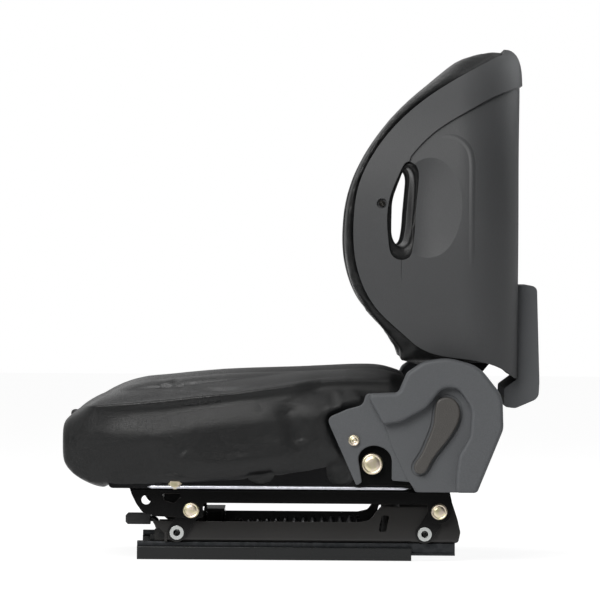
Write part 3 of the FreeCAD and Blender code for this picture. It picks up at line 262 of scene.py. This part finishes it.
# Moving rails and roller cages
# Rolled steel rails that run along the floor rails on caged rollers. Both are zinc plated, with a finish
# that grease and running have dulled on the rails and left bright on the cages.
def plated(name, colour, tint, roughness):
    material, start, point = new_finish(name)
    cloud = noise(start, point, 150.0, 3.0)
    scratch = noise(start, point, 900.0, 2.0)
    close_finish(start, {
        "Base Color": cloud.between(0.35, 0.65).mix(colour, tint),
        "Metallic": 1.0,
        "Roughness": cloud.between(0.2, 0.8, roughness * 0.8, roughness * 1.3),
    }, scratch, 0.00002, 0.0004)
    return material


rail_zinc = plated("rail_zinc", (0.045, 0.047, 0.05), (0.03, 0.032, 0.034), 0.36)
bright_zinc = plated("bright_zinc", (0.72, 0.74, 0.72), (0.60, 0.62, 0.61), 0.3)
paint("moving_rail_steel", rail_zinc)
paint("roller_steel", bright_zinc)

# Frames, rockers and recliner arms
# Pressed steel plates, tubes and arms, punched, welded up and powder coated black. The side plates of the
# lower frame are a slightly browner, duller black than the rest.
black_enamel = enamel("black_enamel", (0.0035, 0.0035, 0.0036), 0.2, (0.06, 0.052, 0.045))
plate_enamel = enamel("plate_enamel", (0.02, 0.0192, 0.0185), 0.32, (0.07, 0.062, 0.055))
paint("frame_paint", black_enamel)
paint("frame_paint", plate_enamel, ["lower_side_left", "lower_side_right"])

# Pivot tubes and hinge pins
# Turned steel in the same bright zinc as the roller cages. The tubes' ends are swaged over against the
# frame plates, and the pins are pressed into the recliner ears.
paint("ring_steel", bright_zinc)

# Suspension springs
# Coils of hard steel wire, oiled black after winding. They hook over the arms of the rear pivot tube and
# into the anchor on the front cross member of the lower frame.
spring_black = plated("spring_black", (0.06, 0.06, 0.065), (0.09, 0.09, 0.09), 0.35)
paint("spring_steel", spring_black)


# Bump stops and lever grips
# Rubber blocks set in the lower frame and plastic grips pushed over the ends of the levers. The mould leaves
# fine pebbles on them, a little darker in patches, and use polishes their edges.
def moulded(name, colour, roughness, pebble=1100.0, depth=0.00012, edge=0.0012):
    material, start, point = new_finish(name)
    cloud = noise(start, point, 5.0, 3.0)
    speck = noise(start, point, 700.0, 2.0)
    pebbles = start.make("TexVoronoi", {"feature": "SMOOTH_F1"},
                         {"Vector": point, "Scale": pebble, "Smoothness": 0.4}, "Distance")
    polish = edges_of(start, 0.0018)
    ground = cloud.between(0.3, 0.7).mix([c * 0.93 for c in colour], [c * 1.06 for c in colour])
    grained = (speck.between(0.3, 0.7) * 0.5).mix(ground, [c * 0.82 for c in colour])
    close_finish(start, {
        "Base Color": (polish * 0.35).mix(grained, [c * 1.25 for c in colour]),
        "Roughness": cloud.between(0.3, 0.7, roughness, roughness * 1.12) - polish * 0.08,
        "Specular IOR Level": 0.4,
    }, pebbles + speck * 0.4, depth, edge)
    return material


buffer_black = moulded("buffer_black", (0.018, 0.018, 0.018), 0.7, 500.0, 0.0002)
grip_black = moulded("grip_black", (0.014, 0.014, 0.015), 0.45)
paint("buffer_rubber", buffer_black)
paint("grip_plastic", grip_black)


# Seat pan
# One sheet of pressed steel in black enamel, bolted to the upper frame. Its sides are turned under in a
# small round fold, given bright steel along its length as a painted highlight.
def join_rings(built, rings, closed=True):
    """Faces between neighbouring rings, with both ends filled, or between rows that stay open."""
    for one, other in zip(rings, rings[1:]):
        count = min(len(one), len(other))
        for k in range(count if closed else count - 1):
            after = (k + 1) % count
            built.faces.new((one[k], one[after], other[after], other[k]))
    if closed:
        built.faces.new(rings[0])
        built.faces.new(rings[-1])
    bmesh.ops.recalc_face_normals(built, faces=built.faces[:])


def dress(piece, finish):
    """The finish all over a piece, with smooth shading."""
    piece.data.materials.clear()
    piece.data.materials.append(finish)
    for polygon in piece.data.polygons:
        polygon.use_smooth = True


def add_piece(built, name, finish, body):
    """The built mesh as a named piece that rides on a body."""
    mesh = bpy.data.meshes.new(name)
    built.to_mesh(mesh)
    built.free()
    piece = bpy.data.objects.new(name, mesh)
    scene.collection.objects.link(piece)
    dress(piece, finish)
    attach(piece, body)
    return piece


pan_enamel = enamel("pan_enamel", (0.005, 0.005, 0.0055), 0.24, (0.05, 0.05, 0.05))
# The fold's bright steel is a painted highlight along the pan's rim.
fold_highlight_steel = plated("fold_highlight_steel", (0.62, 0.63, 0.68), (0.5, 0.51, 0.55), 0.32)
paint("pan_paint", pan_enamel)

low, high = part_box("seat_pan")
fold_radius = 0.0022
fold_height = low[2] + 0.002
fold_front = low[0] + 0.05
fold_rear = high[0] - 0.005
fold_taper = 0.006
blunt_end = 0.25
for side, tag in ((-1, "left"), (1, "right")):
    built = bmesh.new()
    rings = []
    for along in np.linspace(fold_front, fold_rear, 60):
        from_end = min(along - fold_front, fold_rear - along)
        radius = fold_radius * min(1.0, blunt_end + from_end / fold_taper)
        rings.append([built.verts.new((along, side * (high[1] + radius * math.cos(angle)),
                                       fold_height + radius * math.sin(angle)))
                      for angle in np.linspace(0, math.tau, 12, endpoint=False)])
    join_rings(built, rings)
    add_piece(built, f"pan_fold_{tag}", fold_highlight_steel, "seat_carrier")


# Bolts and screws
# Cold-forged flange bolts and cover screws in yellow passivated zinc, and handle screws in black oxide. The
# tool leaves a rolled rim and a ring round a slightly domed middle, or a round socket in a screw.
def turned(name, centre, side, scale, profile, body, finish):
    """A round form with flat ends from (radius, height) rings, facing out of the seat's left or right."""
    built = bmesh.new()
    rings = [[built.verts.new((centre[0] + radius * scale * math.cos(angle),
                               side * (centre[1] + height),
                               centre[2] + radius * scale * math.sin(angle)))
              for angle in np.linspace(0, math.tau, 40, endpoint=False)]
             for radius, height in profile]
    join_rings(built, rings)
    head = add_piece(built, name, finish, body)
    for polygon in head.data.polygons:
        polygon.use_smooth = len(polygon.vertices) == 4


yellow_zinc = plated("yellow_zinc", (0.72, 0.66, 0.43), (0.70, 0.60, 0.50), 0.34)
black_oxide = plated("black_oxide", (0.05, 0.048, 0.045), (0.03, 0.028, 0.026), 0.38)
paint("yellow_zinc", yellow_zinc)
paint("screw_black", black_oxide)

rolled_head = [(0.95, -0.0004), (0.93, 0.0003), (0.86, 0.0008), (0.8, 0.0008), (0.75, 0.0003),
               (0.69, 0.0003), (0.64, 0.0008), (0.4, 0.0011), (0.12, 0.0012)]
socket_head = [(0.96, -0.0003), (0.93, 0.0006), (0.84, 0.0011), (0.74, 0.0011), (0.66, 0.0003),
               (0.5, 0.0002), (0.44, 0.0009), (0.3, 0.001), (0.18, 0.0004), (0.1, 0.0004)]
for node, body, slot, finish, profile in (
    ("ear_bolts", "seat_carrier", "yellow_zinc", yellow_zinc, rolled_head),
    ("cover_screws", "seat_carrier", "yellow_zinc", yellow_zinc, socket_head),
    ("handle_screws", "backrest", "screw_black", black_oxide, socket_head),
):
    low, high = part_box(node)
    for side, tag in ((-1, "left"), (1, "right")):
        turned(f"{node}_face_{tag}", ((low[0] + high[0]) / 2, high[1], (low[2] + high[2]) / 2), side,
               (high[0] - low[0]) / 2, profile, body, finish)
low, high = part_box("pivot_bolts")
pivot_head = 0.0105
for place, along in (("front", low[0] + pivot_head), ("rear", high[0] - pivot_head)):
    for side, tag in ((-1, "left"), (1, "right")):
        turned(f"pivot_bolt_face_{place}_{tag}", (along, high[1], (low[2] + high[2]) / 2), side,
               pivot_head, rolled_head, "seat_carrier", yellow_zinc)

# Side covers, rear cover and recline lever
# Injection-moulded covers in grained grey plastic, screwed over the recliner ears and set low on the back.
# The lever that turns in the left cover is a browner moulding with a coarser grain.
cover_grey = moulded("cover_grey", (0.083, 0.087, 0.093), 0.52)
lever_grey = moulded("lever_grey", (0.062, 0.058, 0.054), 0.42, 900.0, 0.0002)
paint("cover_plastic", cover_grey)
paint("lever_plastic", lever_grey)


# Back shell
# One large moulding in grained grey plastic with a handle hole in each wing, screwed to the back frame. The
# mould raises a soft step round the hollow behind each hole, up the shell's side and over in an arch.
def even_path(points, step):
    """Points at an even step along a smooth curve through the given ones."""
    corners = np.array(points, float)
    ends = np.vstack([2 * corners[0] - corners[1], corners, 2 * corners[-1] - corners[-2]])
    dense = []
    for i in range(1, len(ends) - 2):
        for t in np.linspace(0, 1, 40, endpoint=False):
            a, b, c, d = ends[i - 1:i + 3]
            dense.append(0.5 * (2 * b + (c - a) * t + (2 * a - 5 * b + 4 * c - d) * t ** 2
                                + (3 * b - a - 3 * c + d) * t ** 3))
    dense = np.array(dense + [corners[-1]])
    run = np.concatenate([[0], np.cumsum(np.linalg.norm(np.diff(dense, axis=0), axis=1))])
    marks = np.arange(0, run[-1], step)
    return np.column_stack([np.interp(marks, run, dense[:, k]) for k in range(3)])


def lay_on(mesh, path, towards):
    """The path moved along a direction onto a mesh, with the mesh's normals there."""
    surface = BVHTree.FromPolygons([v.co for v in mesh.vertices], [p.vertices for p in mesh.polygons])
    direction = Vector(towards).normalized()
    far_off = 0.4
    laid = []
    normals = []
    for point in path:
        hit, normal, _, _ = surface.ray_cast(Vector(point) - direction * far_off, direction)
        if hit is not None:
            laid.append(hit)
            normals.append(normal)
    return np.array(laid), np.array(normals)


shell_grey = moulded("shell_grey", (0.057, 0.0585, 0.061), 0.5)
paint("shell_plastic", shell_grey)

shell_skin = frame["nodes"]["back_shell"].data
beside_seat = 0.25
step_line = [(0.2496, 0.372), (0.2496, 0.42), (0.2496, 0.47), (0.2496, 0.508), (0.2468, 0.5255),
             (0.2385, 0.5372), (0.226, 0.5436), (0.213, 0.5442), (0.203, 0.541)]
step_form = [(-0.0052, -0.0003), (-0.0034, 0.0002), (-0.0016, 0.0009), (0.0, 0.0012), (0.0016, 0.0008),
             (0.0034, 0.0001), (0.0052, -0.0003)]
step_faces = 0.004
faces_to_fade = 7.0
sunk_end = 0.0002
for side, tag in ((-1, "left"), (1, "right")):
    middle = even_path([(x, side * beside_seat, z) for x, z in step_line], step_faces)
    along = np.gradient(middle, axis=0)
    along /= np.linalg.norm(along, axis=1)[:, None]
    across = np.column_stack([along[:, 2], np.zeros(len(along)), -along[:, 0]])
    built = bmesh.new()
    rows = []
    for offset, height in step_form:
        laid, normals = lay_on(shell_skin, middle + across * offset, (0, -side, 0))
        from_start = np.arange(len(laid))
        fade = np.minimum(1.0, np.minimum(from_start, from_start[::-1]) / faces_to_fade)
        rise = np.where(height > 0, height * fade - sunk_end * (1 - fade), height)
        rows.append([built.verts.new(place) for place in laid + np.array((0, side, 0)) * rise[:, None]])
    join_rings(built, rows, closed=False)
    step = add_piece(built, f"shell_step_{tag}", shell_grey, "backrest").data
    if step.polygons[len(step.polygons) // 2].normal.y * side < 0:
        step.flip_normals()


# Seat cushion
# A moulded foam block in black coated vinyl with a leather grain, drawn over its sides and tucked behind the
# pan's rim. Bolsters rise to the rear, and a line sewn in black nylon parts them from the sitting panel.
def vinyl(name, colour, roughness):
    """Small cells with fine creases between them, painted darker as shade, glossier where the front of the
    seat stretches it.
    """
    material, start, point = new_finish(name)
    cloud = noise(start, point, 7.0, 3.0)
    drift = start.make("TexNoise", {}, {"Vector": point, "Scale": 260.0}, "Color")
    small_drift = start.make("VectorMath", {"operation": "SCALE"}, {0: drift, "Scale": 0.0012})
    warped = start.make("VectorMath", {"operation": "ADD"}, {0: point, 1: small_drift})
    cells = start.make("TexVoronoi", {"feature": "DISTANCE_TO_EDGE"},
                       {"Vector": warped, "Scale": 520.0}, "Distance")
    crease = cells.between(0.0, 0.12)
    pull = noise(start, point, 38.0, 2.0)
    shade = cloud.between(0.3, 0.7).mix([c * 0.85 for c in colour], [c * 1.2 for c in colour])
    along = point.axis("X")
    height = point.axis("Z")
    sat_on = height.between(0.192, 0.204) * height.between(0.25, 0.256, 1.0, 0.0)
    stretched = (along.between(-0.14, 0.0, 0.17, 0.0) - along.between(-0.06, 0.08, 0.0, 0.1)) * sat_on
    close_finish(start, {
        # The creases' darker colour is painted shade in the grain.
        "Base Color": crease.mix([c * 0.6 for c in colour], shade),
        "Roughness": (cloud.between(0.3, 0.7, roughness, roughness * 1.15) + (1.0 - crease) * 0.1
                      - stretched),
        "Specular IOR Level": 0.34,
    }, crease * 0.5 + pull * 0.6, 0.00022, 0.001)
    return material


def vectors_of(rows, field):
    """A mesh's points or normals as an array."""
    values = np.empty(len(rows) * 3, np.float32)
    rows.foreach_get(field, values)
    return values.reshape(-1, 3).astype(float)


def place_points(mesh, points):
    mesh.vertices.foreach_set("co", points.astype(np.float32).ravel())
    mesh.update()


def work_in(piece):
    """The piece's mesh with its modifiers worked in."""
    graph = bpy.context.evaluated_depsgraph_get()
    mesh = bpy.data.meshes.new_from_object(piece.evaluated_get(graph))
    piece.modifiers.clear()
    piece.data = mesh


def foam_from(node, name):
    """A closed skin over the space that a CAD solid holds, in even small faces."""
    piece = bpy.data.objects.new(name, frame["nodes"][node].data.copy())
    scene.collection.objects.link(piece)
    remesh = piece.modifiers.new("skin", "REMESH")
    remesh.mode = "VOXEL"
    remesh.voxel_size = 0.005
    smooth = piece.modifiers.new("ease", "SMOOTH")
    smooth.factor = 0.5
    smooth.iterations = 3
    work_in(piece)
    return piece


def tree_of(nodes):
    """One search tree over several CAD nodes."""
    points = []
    faces = []
    for node in nodes:
        mesh = frame["nodes"][node].data
        offset = len(points)
        points += [vertex.co.copy() for vertex in mesh.vertices]
        faces += [[offset + i for i in polygon.vertices] for polygon in mesh.polygons]
    return BVHTree.FromPolygons(points, faces)


def swell(piece, neighbours):
    """Foam pushing its cover out: cloth under pressure, held back where a neighbour is near."""
    most = 0.0035
    clearance = 0.0012
    frames = 20
    before = vectors_of(piece.data.vertices, "co")
    near = tree_of(neighbours)
    room = np.array([min(most, max(0.0, near.find_nearest(Vector(p))[3] - clearance)) for p in before])
    cloth = piece.modifiers.new("cover", "CLOTH")
    cloth.settings.quality = 4
    cloth.settings.mass = 0.3
    cloth.settings.use_pressure = True
    cloth.settings.uniform_pressure_force = 4.0
    cloth.settings.effector_weights.gravity = 0
    cloth.settings.bending_stiffness = 2.0
    cloth.collision_settings.use_collision = False
    for step in range(frames):
        scene.frame_set(step + 1)
    graph = bpy.context.evaluated_depsgraph_get()
    moved = piece.evaluated_get(graph).to_mesh()
    after = vectors_of(moved.vertices, "co")
    piece.evaluated_get(graph).to_mesh_clear()
    piece.modifiers.clear()
    scene.frame_set(1)
    shift = after - before
    length = np.linalg.norm(shift, axis=1)
    shift *= (np.minimum(length, room) / np.maximum(length, 1e-9))[:, None]
    place_points(piece.data, before + shift)


def finer(piece):
    """One more level of even faces."""
    divide = piece.modifiers.new("finer", "SUBSURF")
    divide.levels = 1
    divide.render_levels = 1
    work_in(piece)


def sew(piece, line, towards, depth, width, runs_out=False):
    """Lays a line on the skin and pulls the skin in along it, or raises it where the depth is below 0."""
    laid, laid_normals = lay_on(piece.data, line, towards)
    points = vectors_of(piece.data.vertices, "co")
    normals = vectors_of(piece.data.vertex_normals, "vector")
    reach = 4 * width
    end_faces = 0.22 * len(laid)
    inside = ((points > laid.min(0) - reach) & (points < laid.max(0) + reach)).all(1)
    for i in np.nonzero(inside)[0]:
        gaps = ((laid - points[i]) ** 2).sum(1)
        k = gaps.argmin()
        share = min(1.0, min(k, len(laid) - 1 - k) / end_faces) if runs_out else 1.0
        points[i] -= normals[i] * depth * math.exp(-gaps[k] / width ** 2) * share
    place_points(piece.data, points)
    return laid, laid_normals


def stitches(name, path, normals, body):
    """A row of thread stitches lying on a seam."""
    length = 0.0042
    pitch = 0.0062
    thickness = 0.00055
    sink = 0.0004
    built = bmesh.new()
    every = max(1, round(pitch / np.linalg.norm(path[1] - path[0])))
    for i in range(every, len(path) - every, every):
        along = Vector(path[i + 1] - path[i - 1]).normalized()
        up = Vector(normals[i]).normalized()
        side = along.cross(up).normalized()
        turn = Matrix((along, side, up)).transposed().to_4x4()
        turn.translation = Vector(path[i]) - up * sink
        turn = turn @ Matrix.Diagonal((length / 2, thickness, thickness, 1))
        bmesh.ops.create_icosphere(built, subdivisions=1, radius=1, matrix=turn)
    add_piece(built, name, thread, body)


def slope(values, start, end):
    """0 before the start, 1 after the end, straight between."""
    return np.clip((values - start) / (end - start), 0, 1)


def ramp(values, start, end):
    """0 before the start, 1 after the end, smooth between."""
    share = slope(values, start, end)
    return share * share * (3 - 2 * share)


black_vinyl = vinyl("black_vinyl", (0.0042, 0.0045, 0.0048), 0.32)
thread = moulded("sewing_thread", (0.02, 0.02, 0.021), 0.6, 3000.0, 0.00005, 0.0002)
seam_faces = 0.0031
thread_beside = 0.0045

seat = foam_from("seat_cushion", "seat_cushion_cover")
around_seat = ["seat_pan", "pan_bolts", "recliner_ear_left", "recliner_ear_right", "side_cover_left",
               "side_cover_right", "back_cushion", "weight_lever"]
swell(seat, around_seat)
finer(seat)

# The vinyl bulges over the heads of the front pan bolts. Each pair of values says where a change begins and
# where it is full.
bolt_along = -0.127
lap_length = 0.02
lap_foot = (0.0985, 0.1045)
lap_top = (0.125, 0.107)
lap_from = 0.2
lap_half_width = 0.2342
points = vectors_of(seat.data.vertices, "co")
along = points[:, 0]
out = np.abs(points[:, 1])
height = points[:, 2]
lap = (np.exp(-((along - bolt_along) / lap_length) ** 2) * slope(height, *lap_foot)
       * slope(height, *lap_top) * (out > lap_from))
out = out + (lap_half_width - out) * lap

# Its side wall is drawn out flat as far as the crisp edge below the bolster, less beside the covers.
edge_line = [(-0.24, 0.1965), (-0.219, 0.1975), (-0.181, 0.2), (-0.145, 0.2031), (-0.106, 0.2076),
             (-0.07, 0.2119), (-0.0115, 0.2193), (0.0476, 0.2282), (0.09, 0.2318), (0.15, 0.232)]
edge_drop = 0.017
wall_foot = (0.14, 0.165)
wall_depth = (0.158, 0.186)
wall_front = (-0.262, -0.225)
wall_rear = (0.165, 0.145)
wall_half_width = 0.2305
cover_start = (0.02, 0.062)
cover_room = 0.0085
softness = 0.006
held_back = 0.001
edge_height = np.interp(along, *zip(*edge_line))
wall = (slope(edge_height + edge_drop - height, 0, edge_drop) * ramp(height, *wall_foot)
        * ramp(out, *wall_depth) * ramp(along, *wall_front) * ramp(along, *wall_rear))
short = wall_half_width - cover_room * ramp(along, *cover_start) - out
out = out + (short + np.sqrt(short ** 2 + softness ** 2) - held_back) * 0.5 * wall
points[:, 1] = np.sign(points[:, 1]) * out
place_points(seat.data, points)

# Folds pulled in the vinyl's side, and the roll of foam above the pan.
top_fold = [(-0.151, 0.2212), (-0.12, 0.2202), (-0.085, 0.219), (-0.053, 0.2176), (-0.025, 0.2186)]
lower_roll = [(-0.166, 0.136), (-0.115, 0.1292), (-0.053, 0.1278), (0.003, 0.1345), (0.042, 0.1385),
              (0.06, 0.142)]
pulled_fold = [(0.012, 0.207), (0.024, 0.176), (0.033, 0.141)]
for side in (-1, 1):
    for line, depth, width in (
        (edge_line, -0.0026, 0.0055),
        (top_fold, 0.0018, 0.0085),
        (lower_roll, -0.0088, 0.0205),
        (pulled_fold, 0.0034, 0.015),
    ):
        path = even_path([(x, side * beside_seat, z) for x, z in line], seam_faces)
        sew(seat, path, (0, -side, 0), depth, width, runs_out=True)

# The sewn line on each side of the sitting panel, with its stitches just outside.
panel_half = 0.118
panel_depth = 0.0035
panel_width = 0.005
panel_line = [(0.165, panel_half * 0.98), (0.02, panel_half), (-0.12, panel_half * 1.02),
              (-0.225, panel_half * 1.06)]
for side, tag in ((-1, "left"), (1, "right")):
    line = even_path([(x, side * y, 0) for x, y in panel_line], seam_faces)
    sew(seat, line, (0, 0, -1), panel_depth, panel_width)
    laid, normals = lay_on(seat.data, line + np.array((0, side * thread_beside, 0)), (0, 0, -1))
    stitches(f"seat_stitches_{tag}", laid, normals, "seat_carrier")
dress(seat, black_vinyl)
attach(seat, "seat_carrier")
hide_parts("seat_cushion")

# Back cushion
# Foam set between the shell's wings in the same vinyl, which is rolled over the shell's front edge. Sewn
# lines run across its middle panel and in a border round it.
back = foam_from("back_cushion", "back_cushion_cover")
around_back = ["back_shell", "back_frame", "recliner_arm_left", "recliner_arm_right", "seat_cushion",
               "hinge_pins"]
swell(back, around_back)
finer(back)
seam_depth = 0.004
seam_width = 0.0055
seam_sag = 0.008
for height, half in ((0.345, 0.118), (0.43, 0.128), (0.515, 0.118)):
    line = even_path([(0, -half, height), (0, 0, height - seam_sag), (0, half, height)], seam_faces)
    laid, normals = sew(back, line, (1, 0, 0), seam_depth, seam_width)
    stitches(f"back_stitches_{round(height * 1000)}", laid, normals, "backrest")
border_line = [(0.115, 0.275), (0.12, 0.36), (0.13, 0.45), (0.115, 0.54), (0.07, 0.6), (0.0, 0.612)]
for side, tag in ((-1, "left"), (1, "right")):
    line = even_path([(0, side * y, z) for y, z in border_line], seam_faces)
    sew(back, line, (1, 0, 0), seam_depth, seam_width)
    laid, normals = lay_on(back.data, line + np.array((0, side * thread_beside, 0)), (1, 0, 0))
    stitches(f"back_border_stitches_{tag}", laid, normals, "backrest")
dress(back, black_vinyl)
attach(back, "backrest")
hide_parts("back_cushion")

low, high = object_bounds()
